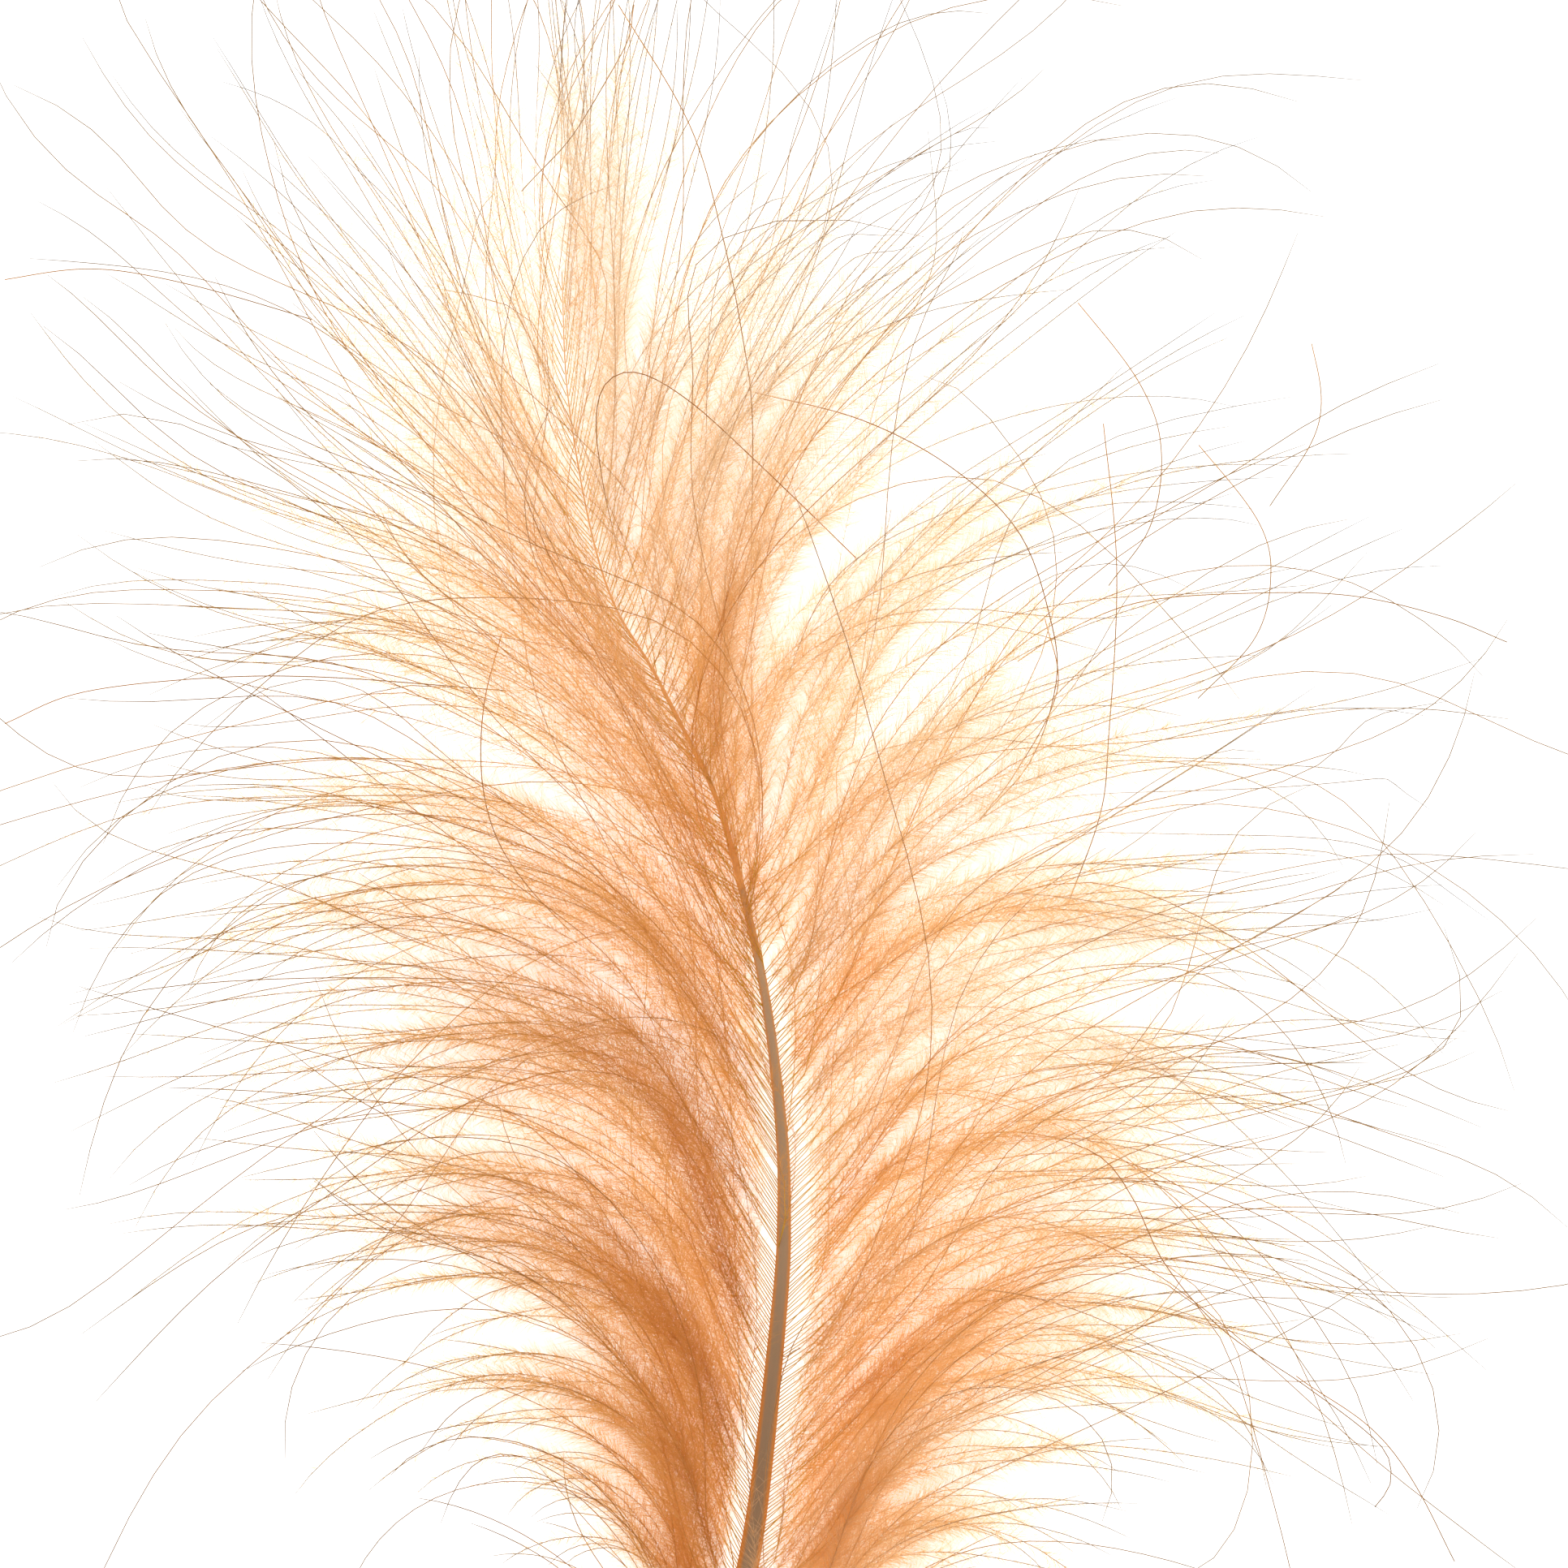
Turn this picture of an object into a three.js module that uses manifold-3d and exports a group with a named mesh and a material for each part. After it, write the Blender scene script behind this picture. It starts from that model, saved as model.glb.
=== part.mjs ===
// A downy turkey plume lying on a table, built as the one piece that it grew as.
// Millimetres. X runs across the plume, Y from the cut end of the quill to the tip, Z is up.
// The shaft is a tapering rod whose lowest stretch, the bare quill, lies on the table. From each of
// its sides grows a row of locks. A lock is a clump of barbs: narrow where it leaves the shaft,
// widest before its middle and pointed at its tip. Some locks lie on the table and prop the shaft
// up, the others arch over them, so that the plume is about nine millimetres deep.

import * as THREE from 'three';
import { mergeVertices } from 'three/addons/utils/BufferGeometryUtils.js';
import Module from 'manifold-3d';

const wasm = await Module();
wasm.setup();

const LEFT = -1;
const RIGHT = 1;

// The line of the shaft seen from above, from the cut end of the quill to the tip. It bows to the
// right below its middle, and its upper third leans to the left.
const shaftLine = [
  [-3.8, -62.0], [-3.4, -53.2], [-2.5, -44.1], [-1.3, -36.6], [-0.2, -26.3], [0.0, -22.1],
  [-0.1, -18.0], [-0.8, -11.8], [-1.8, -6.8], [-3.3, -1.2], [-4.8, 2.1], [-6.7, 5.8],
  [-8.7, 9.2], [-10.0, 13.5], [-11.1, 20.1], [-11.4, 26.3],
];

// Half the thickness of the shaft, by the distance from the cut end.
const shaftRadius = [
  [0, 0.46], [3, 0.64], [10, 0.68], [22, 0.58], [36, 0.42], [48, 0.28], [62, 0.15], [76, 0.1],
  [91, 0.06],
];

// Height of the middle of the shaft above the table, by the distance from the cut end.
const shaftHeight = [[0, 0.4], [3, 0.56], [10, 0.6], [18, 1.1], [30, 2.4], [44, 3], [62, 2.2], [91, 1.2]];

// The facets of the shaft, the steps that its length is measured in, and how far ahead and behind
// its direction is read.
const shaftSides = 8;
const shaftSteps = 28;
const shaftFineness = 600;
const directionReach = 0.5;

// How the barbs of one side run. Each row is a place on the shaft: its distance from the cut end,
// the length of the barbs there, and their heading at five places along them. A heading is in
// degrees from +Y, counted outwards: 0 runs on towards the tip of the plume, 90 straight out
// sideways, and more than 90 back towards the quill.
const barbRows = {
  [LEFT]: [
    [9, 15, [34, 30, 40, 60, 95]],
    [12, 19, [34, 22, 28, 55, 95]],
    [14, 21, [34, 16, 18, 60, 130]],
    [18, 33, [34, 10, 32, 88, 128]],
    [22, 40, [34, 12, 44, 86, 104]],
    [30, 46, [34, 18, 58, 93, 110]],
    [36, 46, [34, 24, 64, 92, 108]],
    [44, 46, [32, 32, 73, 100, 112]],
    [50.5, 44, [34, 37, 65, 92, 106]],
    [56, 43, [46, 40, 64, 80, 70]],
    [61, 45, [56, 44, 70, 72, 56]],
    [65, 46, [60, 47, 52, 55, 57]],
    [69, 44, [60, 43, 40, 44, 45]],
    [73, 41, [50, 36, 32, 33, 34]],
    [78, 37, [40, 26, 18, 15, 14]],
    [84, 30, [30, 16, 4, -2, -4]],
    [91, 22, [12, 4, -5, -9, -11]],
  ],
  [RIGHT]: [
    [9, 15, [60, 35, 35, 60, 100]],
    [12, 22, [60, 30, 32, 65, 105]],
    [14, 28, [60, 30, 40, 78, 105]],
    [18, 37, [60, 32, 55, 85, 98]],
    [22, 41, [58, 34, 66, 92, 98]],
    [30, 35, [56, 38, 64, 106, 118]],
    [36, 42, [52, 43, 84, 80, 66]],
    [41, 44, [50, 36, 72, 97, 100]],
    [47.5, 45, [46, 34, 68, 96, 108]],
    [52, 45, [42, 28, 56, 82, 92]],
    [56, 44, [38, 22, 46, 64, 82]],
    [59.5, 44, [33, 18, 38, 56, 70]],
    [63, 44, [29, 14, 30, 48, 62]],
    [67, 44, [26, 12, 22, 38, 50]],
    [71, 43, [23, 10, 15, 27, 38]],
    [76, 39, [18, 8, 9, 16, 24]],
    [82, 32, [10, 8, 5, 7, 12]],
    [91, 22, [6, 4, 0, -2, -3]],
  ],
};

// The places along a barb that its five headings are given for, as shares of its length.
const headingPlaces = [0, 0.15, 0.4, 0.7, 1];
const walkSteps = 40;

// The locks of one side, and how far one may differ from the row that it grows in.
const locksPerSide = 26;
const firstLock = 9.5;
const lastLock = 89.5;
const headingScatter = [0, 3, 7, 11, 16];
const lengthScatter = 0.08;

// How far a lock reaches, as a share of the length of the barbs in its row: its longest barbs run
// past the rest.
const tipReach = 1.12;

// The layers that follow each other along the shaft: how high a lock arches over the line from its
// root to its tip, and how high its tip ends. The right side runs two layers ahead of the left.
const layers = [
  { crest: -1.6, tip: 0 },
  { crest: 2.2, tip: 1.4 },
  { crest: 0.4, tip: 0.2 },
  { crest: 5.4, tip: 3.2 },
  { crest: -0.8, tip: 0 },
  { crest: 3.8, tip: 2.2 },
];
const layersAhead = { [LEFT]: 0, [RIGHT]: 2 };
const heightScatter = 0.8;
const fullDepthLength = 40;
const crestPlace = 0.8;

// How a lock swells between root and tip, and the largest half width and half thickness of a lock,
// which has a part that every lock has and a part that grows with its length.
const lockSwell = [[0, 0.3], [0.08, 0.5], [0.35, 1], [0.62, 0.95], [0.85, 0.5], [1, 0.06]];
const halfWidthOf = (length) => 0.9 + 0.043 * length;
const halfThicknessOf = (length) => 0.2 + 0.014 * length;
const thinnestTip = 0.1;
const lockSides = 6;
const lockSteps = 7;

// How far a lock may roll about its own line, in radians.
const rollScatter = 0.35;

// How far the middle of a lock stays above the table, as a share of its half thickness: its
// underside is pressed flat where the lock lies on the table.
const pressedShare = 0.85;

// Reads a value off a list of [place, value] rows.
function readOff(rows, place) {
  let i = 0;
  while (i < rows.length - 2 && place > rows[i + 1][0]) i += 1;
  const [from, low] = rows[i];
  const [to, high] = rows[i + 1];
  const share = THREE.MathUtils.clamp((place - from) / (to - from), 0, 1);
  return low + (high - low) * share;
}

// What varies from lock to lock: the five headings are 0 to 4, and these follow them.
const varies = { length: 5, crest: 6, tip: 7, roll: 8 };

// A repeatable number between -1 and 1 for each lock and each thing that varies.
function scatter(lock, thing) {
  const wave = Math.sin(lock * 127.1 + thing * 311.7) * 43758.5453;
  return 2 * (wave - Math.floor(wave)) - 1;
}

// A smooth value between the five headings of a barb.
function headingAt(share, headings) {
  const last = headings.length - 1;
  let i = 0;
  while (i < last - 1 && share > headingPlaces[i + 1]) i += 1;
  const slope = (k) => {
    const before = Math.max(k - 1, 0);
    const after = Math.min(k + 1, last);
    return (headings[after] - headings[before]) / (headingPlaces[after] - headingPlaces[before]);
  };
  const span = headingPlaces[i + 1] - headingPlaces[i];
  const t = (share - headingPlaces[i]) / span;
  return (2 * t ** 3 - 3 * t ** 2 + 1) * headings[i]
    + (t ** 3 - 2 * t ** 2 + t) * span * slope(i)
    + (3 * t ** 2 - 2 * t ** 3) * headings[i + 1]
    + (t ** 3 - t ** 2) * span * slope(i + 1);
}

const shaftCurve = new THREE.CatmullRomCurve3(
  shaftLine.map(([x, y]) => new THREE.Vector3(x, y, 0)), false, 'catmullrom', 0.5);
shaftCurve.arcLengthDivisions = shaftFineness;
const shaftLength = shaftCurve.getLength();

function shaftPoint(at) {
  const point = shaftCurve.getPointAt(THREE.MathUtils.clamp(at / shaftLength, 0, 1));
  point.z = readOff(shaftHeight, at);
  return point;
}

// Everything that tells one lock from the next.
function describeLock(side, index) {
  const at = firstLock + (lastLock - firstLock) * (index + 0.5) / locksPerSide;
  const number = side === LEFT ? index : index + locksPerSide;
  const rows = barbRows[side];
  const length = readOff(rows.map((row) => [row[0], row[1]]), at);
  const headings = headingPlaces.map((place, k) => (
    readOff(rows.map((row) => [row[0], row[2][k]]), at) + headingScatter[k] * scatter(number, k)));
  const layer = layers[(index + layersAhead[side]) % layers.length];
  const depth = Math.min(length / fullDepthLength, 1);
  return {
    side,
    at,
    headings,
    length: length * tipReach * (1 + lengthScatter * scatter(number, varies.length)),
    crest: layer.crest * depth + heightScatter * scatter(number, varies.crest),
    tip: Math.max(layer.tip * depth + heightScatter * scatter(number, varies.tip), 0),
    roll: rollScatter * scatter(number, varies.roll),
  };
}

// The middle line of a lock, as points an even step apart.
function lockLine(lock) {
  const root = shaftPoint(lock.at);
  const step = lock.length / walkSteps;
  const line = [root];
  let { x, y } = root;
  for (let i = 0; i < walkSteps; i += 1) {
    const heading = THREE.MathUtils.degToRad(headingAt((i + 0.5) / walkSteps, lock.headings));
    const share = (i + 1) / walkSteps;
    x += lock.side * Math.sin(heading) * step;
    y += Math.cos(heading) * step;
    const arch = lock.crest * Math.sin(Math.PI * share ** crestPlace);
    const z = root.z * (1 - share) + arch + lock.tip * share ** 2;
    line.push(new THREE.Vector3(x, y, z));
  }
  return line;
}

// A point and a direction on a line of evenly spaced points.
function alongLine(line, share) {
  const place = share * (line.length - 1);
  const i = Math.min(Math.floor(place), line.length - 2);
  const point = line[i].clone().lerp(line[i + 1], place - i);
  const before = line[Math.max(i - 1, 0)];
  const after = line[Math.min(i + 2, line.length - 1)];
  return { point, forward: after.clone().sub(before).normalize() };
}

// A closed cylinder bent along a line: sectionAt gives the middle, the direction and the half
// sizes at each share of the length, and nothing reaches below the table.
function bendCylinder(sides, steps, sectionAt) {
  const cylinder = new THREE.CylinderGeometry(1, 1, 1, sides, steps, false, Math.PI / sides);
  cylinder.deleteAttribute('normal');
  cylinder.deleteAttribute('uv');
  const geometry = mergeVertices(cylinder);
  const place = geometry.attributes.position;
  const up = new THREE.Vector3(0, 0, 1);
  for (let i = 0; i < place.count; i += 1) {
    const { point, forward, halfWidth, halfHeight, roll } = sectionAt(place.getY(i) + 0.5);
    const across = forward.clone().cross(up).normalize().applyAxisAngle(forward, roll);
    const over = across.clone().cross(forward);
    point.addScaledVector(across, place.getX(i) * halfWidth);
    point.addScaledVector(over, place.getZ(i) * halfHeight);
    place.setXYZ(i, point.x, point.y, Math.max(point.z, 0));
  }
  return geometry;
}

function makeShaft() {
  return bendCylinder(shaftSides, shaftSteps, (share) => {
    const at = share * shaftLength;
    const ahead = shaftPoint(at + directionReach);
    const behind = shaftPoint(at - directionReach);
    const radius = readOff(shaftRadius, at);
    return {
      point: shaftPoint(at),
      forward: ahead.sub(behind).normalize(),
      halfWidth: radius,
      halfHeight: radius,
      roll: 0,
    };
  });
}

function makeLock(lock) {
  const line = lockLine(lock);
  return bendCylinder(lockSides, lockSteps, (share) => {
    const swell = readOff(lockSwell, share);
    const halfHeight = Math.max(halfThicknessOf(lock.length) * swell, thinnestTip);
    const { point, forward } = alongLine(line, share);
    point.z = Math.max(point.z, pressedShare * halfHeight);
    return {
      point,
      forward,
      halfWidth: Math.max(halfWidthOf(lock.length) * swell, thinnestTip),
      halfHeight,
      roll: lock.roll * Math.sin(Math.PI * share),
    };
  });
}

function toSolid(geometry) {
  return new wasm.Manifold(new wasm.Mesh({
    numProp: 3,
    vertProperties: new Float32Array(geometry.attributes.position.array),
    triVerts: new Uint32Array(geometry.index.array),
  }));
}

function toGeometry(solid) {
  const mesh = solid.getMesh();
  const geometry = new THREE.BufferGeometry();
  geometry.setAttribute('position', new THREE.BufferAttribute(mesh.vertProperties, 3));
  geometry.setIndex(new THREE.BufferAttribute(mesh.triVerts, 1));
  geometry.computeVertexNormals();
  return geometry;
}

const locks = [LEFT, RIGHT].flatMap((side) => (
  Array.from({ length: locksPerSide }, (unused, index) => describeLock(side, index))));

// Locks and shaft grew as one, so they are joined into one solid.
function makeFeather() {
  const grown = locks.reduce((solid, lock) => solid.add(toSolid(makeLock(lock))), toSolid(makeShaft()));
  return toGeometry(grown);
}

// The origin is on the table, midway between the outermost tips and midway between the cut end of
// the quill and the furthest tip.
function middleOfReach() {
  const reach = new THREE.Box3();
  locks.forEach((lock) => reach.expandByPoint(lockLine(lock).at(-1)));
  reach.expandByPoint(shaftPoint(0));
  return reach.getCenter(new THREE.Vector3()).setZ(0);
}

const downMaterial = new THREE.MeshStandardMaterial({ color: 0xe8a878, roughness: 0.85, metalness: 0 });

const plume = new THREE.Group();
const feather = new THREE.Mesh(makeFeather(), downMaterial);
feather.name = 'feather';
feather.position.copy(middleOfReach()).negate();
plume.add(feather);

export default plume;
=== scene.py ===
import math

import bpy
import numpy as np
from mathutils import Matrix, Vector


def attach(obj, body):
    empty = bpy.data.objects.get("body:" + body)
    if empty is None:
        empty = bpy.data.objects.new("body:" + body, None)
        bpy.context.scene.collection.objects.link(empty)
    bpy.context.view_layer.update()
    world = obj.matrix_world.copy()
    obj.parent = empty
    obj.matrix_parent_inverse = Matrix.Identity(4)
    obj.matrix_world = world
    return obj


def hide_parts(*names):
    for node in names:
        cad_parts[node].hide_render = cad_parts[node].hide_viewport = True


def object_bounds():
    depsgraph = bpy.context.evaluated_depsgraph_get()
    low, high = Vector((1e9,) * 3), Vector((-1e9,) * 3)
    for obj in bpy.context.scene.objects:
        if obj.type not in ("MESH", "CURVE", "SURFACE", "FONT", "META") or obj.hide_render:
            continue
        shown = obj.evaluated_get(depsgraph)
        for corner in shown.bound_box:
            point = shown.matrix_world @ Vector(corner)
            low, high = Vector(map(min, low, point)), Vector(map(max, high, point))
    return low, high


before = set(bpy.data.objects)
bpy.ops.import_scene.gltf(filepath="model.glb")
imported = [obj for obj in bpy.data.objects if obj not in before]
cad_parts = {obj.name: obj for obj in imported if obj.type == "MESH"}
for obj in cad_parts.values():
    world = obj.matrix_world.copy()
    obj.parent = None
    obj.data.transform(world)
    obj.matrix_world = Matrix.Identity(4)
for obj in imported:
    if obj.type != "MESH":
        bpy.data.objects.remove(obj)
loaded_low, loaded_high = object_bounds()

# A downy turkey plume lying on a lit white surface, seen from straight above.
# The drawing is in millimetres: X runs across the plume, Y from the quill to the tip, Z is up, and
# the origin is on the table under the middle of the picture. Each finished piece is moved to the
# frame's origin and scaled to metres.
# A place, or "at", is a distance along the shaft from the cut end of the quill. A walked distance
# is measured along a barb from its root, and a share is that distance over the barb's length.

METRE = 0.001
ALMOST_NOTHING = 1e-9
LEFT = -1
RIGHT = 1

# The random draws of each side start from its own seed.
SEEDS = {LEFT: 20, RIGHT: 21}

# The shaft: its line seen from above, and by place half the thickness of the solid's shaft, how
# much of it the real shaft has, and the height of its middle over the table.
SHAFT_LINE = [
    (-3.8, -62.0), (-3.4, -53.2), (-2.5, -44.1), (-1.3, -36.6), (-0.2, -26.3), (0.0, -22.1),
    (-0.1, -18.0), (-0.8, -11.8), (-1.8, -6.8), (-3.3, -1.2), (-4.8, 2.1), (-6.7, 5.8),
    (-8.7, 9.2), (-10.0, 13.5), (-11.1, 20.1), (-11.4, 26.3),
]
SHAFT_RADIUS = [(0, 0.46), (3, 0.64), (10, 0.68), (22, 0.58), (36, 0.42), (48, 0.28), (62, 0.15),
                (76, 0.1), (91, 0.06)]
SHAFT_FINER = [(58, 1), (68, 0.7), (78, 0.5), (91, 0.4)]
SHAFT_HEIGHT = [(0, 0.4), (3, 0.56), (10, 0.6), (18, 1.1), (30, 2.4), (44, 3.0), (62, 2.2), (91, 1.2)]
SHAFT_STEPS = 40
SHAFT_SIDES = 24
SHAFT_RINGS = 80
SHAFT_INSIDE_SOLID = 0.97
LOWEST_SHAFT = 0.01

# The shaft is thin enough from here on for light to shine through it.
SHINES_FROM = 57

# How the barbs of one side run: place, length of the barbs there, and their heading at five places
# along them, in degrees from +Y and counted outwards.
ROWS = {
    LEFT: [
        (9, 15, 34, 30, 40, 60, 95), (12, 19, 34, 22, 28, 55, 95), (14, 21, 34, 16, 18, 60, 130),
        (18, 33, 34, 10, 32, 88, 128), (22, 40, 34, 12, 44, 86, 104), (30, 46, 34, 18, 58, 93, 110),
        (36, 46, 34, 24, 64, 92, 108), (44, 46, 32, 32, 73, 100, 112), (50.5, 44, 34, 37, 65, 92, 106),
        (56, 43, 46, 40, 64, 80, 70), (61, 45, 56, 44, 70, 72, 56), (65, 46, 60, 47, 52, 55, 57),
        (69, 44, 60, 43, 40, 44, 45), (73, 41, 50, 36, 32, 33, 34), (78, 37, 40, 26, 18, 15, 14),
        (84, 30, 30, 16, 4, -2, -4), (91, 22, 12, 4, -5, -9, -11),
    ],
    RIGHT: [
        (9, 15, 60, 35, 35, 60, 100), (12, 22, 60, 30, 32, 65, 105), (14, 28, 60, 30, 40, 78, 105),
        (18, 37, 60, 32, 55, 85, 98), (22, 41, 58, 34, 66, 92, 98), (30, 35, 56, 38, 64, 106, 118),
        (36, 42, 52, 43, 84, 80, 66), (41, 44, 50, 36, 72, 97, 100), (47.5, 45, 46, 34, 68, 96, 108),
        (52, 45, 42, 28, 56, 82, 92), (56, 44, 38, 22, 46, 64, 82), (59.5, 44, 33, 18, 38, 56, 70),
        (63, 44, 29, 14, 30, 48, 62), (67, 44, 26, 12, 22, 38, 50), (71, 43, 23, 10, 15, 27, 38),
        (76, 39, 18, 8, 9, 16, 24), (82, 32, 10, 8, 5, 7, 12), (91, 22, 6, 4, 0, -2, -3),
    ],
}
HEADING_PLACES = [0, 0.15, 0.4, 0.7, 1]
HEADING_FINENESS = 400
WALK_STEPS = 44

# The locks of the plume, as the solid has them: how many there are, how far one may differ from
# its row, how high each layer arches and ends, and how thick a lock is.
LOCKS_PER_SIDE = 26
FIRST_LOCK = 9.5
LAST_LOCK = 89.5
HEADING_SCATTER = [0, 3, 7, 11, 16]
LENGTH_SCATTER = 0.08
TIP_REACH = 1.12
LAYERS = [(-1.6, 0), (2.2, 1.4), (0.4, 0.2), (5.4, 3.2), (-0.8, 0), (3.8, 2.2)]
LAYERS_AHEAD = {LEFT: 0, RIGHT: 2}
HEIGHT_SCATTER = 0.8
FULL_DEPTH_LENGTH = 40
CREST_PLACE = 0.8
LOCK_SWELL = [(0, 0.3), (0.08, 0.5), (0.35, 1), (0.62, 0.95), (0.85, 0.5), (1, 0.06)]
LEAST_THICKNESS = 0.2
THICKNESS_BY_LENGTH = 0.014

# How locks differ, which is the same here as in the solid: the steps on a wave from one lock, and
# from one thing that varies, to the next, and how far the wave is stretched. The five headings are
# things 0 to 4, and three more follow them.
LOCK_STEP = 127.1
THING_STEP = 311.7
WAVE_STRETCH = 43758.5453
LENGTH_THING = 5
CREST_THING = 6
TIP_THING = 7

# The barbs that make up the locks: how close they grow, and how many are fine.
FIRST_BARB = 7.5
LAST_BARB = 90.3
BARB_SPACING = [(7.5, 0.21), (62, 0.21), (74, 0.32), (91, 0.7)]
SPACING_STEPS = 2000
ROOT_JITTER = 0.03
VEILED_JITTER = 0.12
ROOT_IN_SHAFT = 0.85
FINE_BARBS = 0.74
FINE_LENGTHS = (0.55, 0.98)
COARSE_LENGTHS = (0.85, 1.22)
SHORTER_BIAS = 1.3

# Barbs gather into strands. Calm barbs run as the rows do, evened out over a stretch of the shaft,
# and loose ones go their own way between them.
BARBS_IN_STRAND = (2, 7)
LOOSE_STRAND_SPAN = (3, 9)
LOOSE_SHARE = {
    LEFT: [(9, 0.2), (24, 0.12), (60, 0.12), (91, 0.1)],
    RIGHT: [(9, 0.2), (38, 0.2), (62, 0.22), (72, 0.16), (91, 0.1)],
}
LOOSE_LEAN = {LEFT: (0.3, 1.15), RIGHT: (0.0, 1.05)}
CALM = 0.3
CALM_BLEND = [(9, 2), (15, 3), (22, 7), (60, 10), (91, 8)]
BLEND_SAMPLES = 9
CALM_SWAY = 0.3
CALM_LAYERS = 4

# How far strands and barbs turn off their way, in degrees, at the five places along them, and how
# much further barbs do where the shaft is veiled.
STRAND_HEADING_SCATTER = [0, 2.5, 7, 10, 13]
BARB_HEADING_SCATTER = [0, 3.2, 9, 14, 20]
VEILED_HEADING_SCATTER = [8, 7, 3, 0, 0]
COARSE_SCATTER = 2.1
STRAY_SHARE = 0.1
STRAY_HEADING_SCATTER = [0, 5, 11, 18, 28]
STRAND_BEND = (0.9, 1.15)
BARB_BEND_SCATTER = 0.16

# Strands that cross the shaft close to their roots and turn back.
CROSSING_SHARE = {
    LEFT: [(9, 0.01), (20, 0.04), (42, 0.06), (50, 0.12), (66, 0.13), (76, 0.03)],
    RIGHT: [(9, 0.01), (30, 0.03), (46, 0.04), (56, 0.09), (76, 0.03)],
}
CROSSING_HEADING = [-70, -46, -16, 0, 0]
CROSSING_STRENGTH = (0.5, 1.1)

# How strongly the barbs of a strand, and of a lock, are drawn together at each walked distance,
# and how that differs between calm, loose and stray barbs and by place.
STRAND_PULL = [(0, 0), (2.5, 0), (9, 0.22), (20, 0.24), (32, 0.14), (46, 0.0)]
STRAND_PULL_SPREAD = (0.8, 1.15)
LOCK_PULL = [(0, 0), (3, 0), (12, 0.05), (24, 0.05), (36, 0.0), (46, 0.0)]
LOCK_PULL_SPREAD = (0.4, 1.5)
PULL_BY_PLACE = [(9, 1), (42, 0.9), (54, 0.45), (68, 0.22), (91, 0.18)]
CALM_HELD = 0.25
LOOSE_HELD = 1.2
STRAY_HELD = 0.2

# How far strands and barbs lie above and below the middle of their lock, as a share of half its
# thickness.
STRAND_LEVEL = 0.8
BARB_LEVEL = 0.3

# Fibres lie between these heights. Over the last millimetres before the sides and the top of the
# solid's box, barbs bend along it.
LOWEST_FIBRE = 0.05
HIGHEST_FIBRE = loaded_high[2] / METRE
SIDE_CURL = 4
TOP_CURL = 2.5

# Slow waves that carry the barbs of a layer aside together: how long they are, how far they carry
# a barb at each walked distance, and how many run through each other.
WAVE_LENGTHS = (18, 45)
WAVE_REACH = [(0, 0), (2.5, 0), (12, 1.4), (30, 3.4), (46, 4.5)]
WAVES = 5

# A barb's half thickness by share, and how much of it a fine barb has, at the shares where fine
# barbs are thinner. Every second point of a path is enough for its tube.
BARB_RADIUS = [(0, 0.028), (0.04, 0.022), (0.12, 0.02), (0.3, 0.021), (0.6, 0.026), (0.94, 0.026), (1, 0.012)]
FINE_THICKNESS = 0.5
FINE_FROM = [(0, 0), (0.05, 0), (0.2, 1), (0.42, 1), (0.62, 0.25)]
THICKNESS_SPREAD = (0.85, 1.15)
TUBE_SIDES = 3
TUBE_STRIDE = 2

# The barbules, the down proper: single fine fibres on both sides of each barb. Their length is by
# the distance from where the down starts, and their angles are mean and scatter in degrees.
BARBULES_PER_MM = 59
BARBULE_LENGTH = [(0, 0.9), (3, 1.5), (8, 2.3), (20, 2.7), (34, 2.2), (46, 1.5)]
BARBULE_REACH = [(0, 1), (0.5, 1), (0.75, 0.6), (1, 0.35)]
BARBULE_SPREAD = (0.6, 1.15)
BARBULE_WIDTH = 0.0162
BARBULE_ANGLE = (42, 17)
ROLL_SCATTER = 32
FACE_SCATTER = 35

# How dense the down is by share, on fine, coarse and loose barbs.
FINE_FADE = {
    LEFT: [(0, 0.75), (0.15, 0.8), (0.35, 0.9), (0.6, 0.82), (0.8, 0.52), (0.95, 0.2), (1, 0)],
    RIGHT: [(0, 0.9), (0.2, 1), (0.4, 0.9), (0.6, 0.74), (0.8, 0.46), (1, 0)],
}
COARSE_FADE = {
    LEFT: [(0, 0.75), (0.15, 0.8), (0.3, 0.9), (0.42, 0.6), (0.54, 0.25), (0.66, 0)],
    RIGHT: [(0, 0.9), (0.2, 1), (0.3, 0.8), (0.42, 0.5), (0.54, 0.2), (0.66, 0)],
}
LOOSE_DOWN = [(0, 0.9), (0.25, 0.6), (0.5, 0.25), (1, 0.1)]

# The first millimetres of a barb are bare, which leaves a window beside the lower shaft.
BARE_ROOT = {
    LEFT: [(9, 0.6), (14, 1.0), (44, 1.0), (50, 0.5), (55, 0), (91, 0)],
    RIGHT: [(9, 0.4), (14, 1.0), (40, 1.0), (50, 0.5), (55, 0), (91, 0)],
}
BARE_SPREAD = (0.8, 1.2)
DOWN_STARTS_OVER = 0.8

# The lowest barbs are tufts with little down past their roots.
TUFTS_BELOW = {LEFT: 15, RIGHT: 10.5}
TUFT_DOWN = [(0, 1), (3, 0.9), (5, 0.3), (20, 0.15)]

# How dense the down is by place, against the densest that there may be.
DOWN_BY_PLACE = {
    LEFT: [(8, 1.0), (16, 1.1), (26, 0.78), (34, 0.54), (44, 0.4), (58, 0.29), (68, 0.31), (76, 0.31),
           (82, 0.24), (91, 0.16)],
    RIGHT: [(8, 1.2), (14, 1.06), (20, 0.78), (28, 0.56), (36, 0.5), (44, 0.62), (50, 0.7), (58, 0.68),
            (66, 0.52), (78, 0.44), (91, 0.26)],
}
MOST_DOWN = 1.3

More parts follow.
